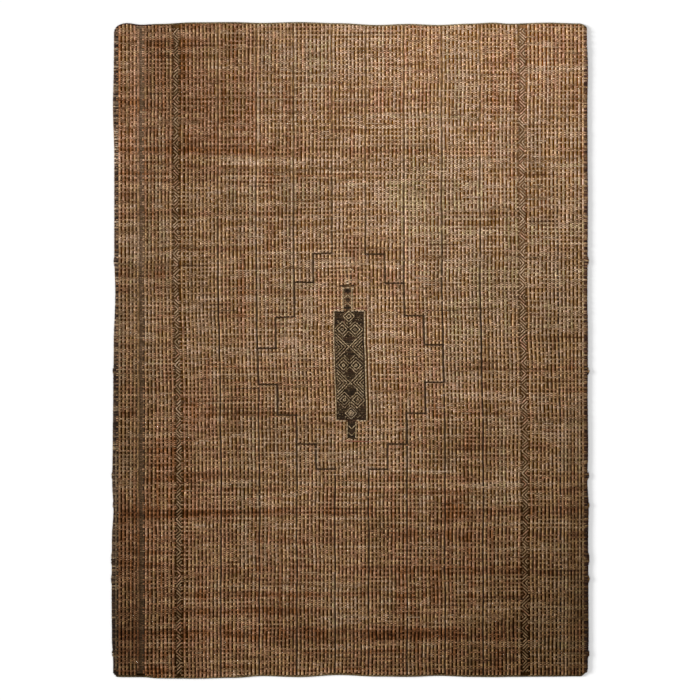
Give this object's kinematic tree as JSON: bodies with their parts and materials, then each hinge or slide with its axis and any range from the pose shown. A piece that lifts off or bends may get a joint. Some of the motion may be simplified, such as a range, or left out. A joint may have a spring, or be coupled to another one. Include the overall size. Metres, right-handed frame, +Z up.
{
  "type": "jute rug",
  "caption": "Flat-woven ribbed jute rug with zigzag bands, a stepped outline round a small dark lozenge panel, woven selvedges and turned hems, lying flat.",
  "frame": {"origin": "under the middle of the rug, on the surface that it lies on", "axes": "+X across the rug to the right selvedge, +Y along it to the top hem of the picture, +Z up from its underside to its face"},
  "size_m": [1.828, 2.4919, 0.0087],
  "materials": {
    "jute_weave": "natural jute yarn, undyed tan warps over a dark brown ground, matt and hairy"
  },
  "bodies": {
    "root": {"rug_cloth": "jute_weave"}
  },
  "joints": []
}
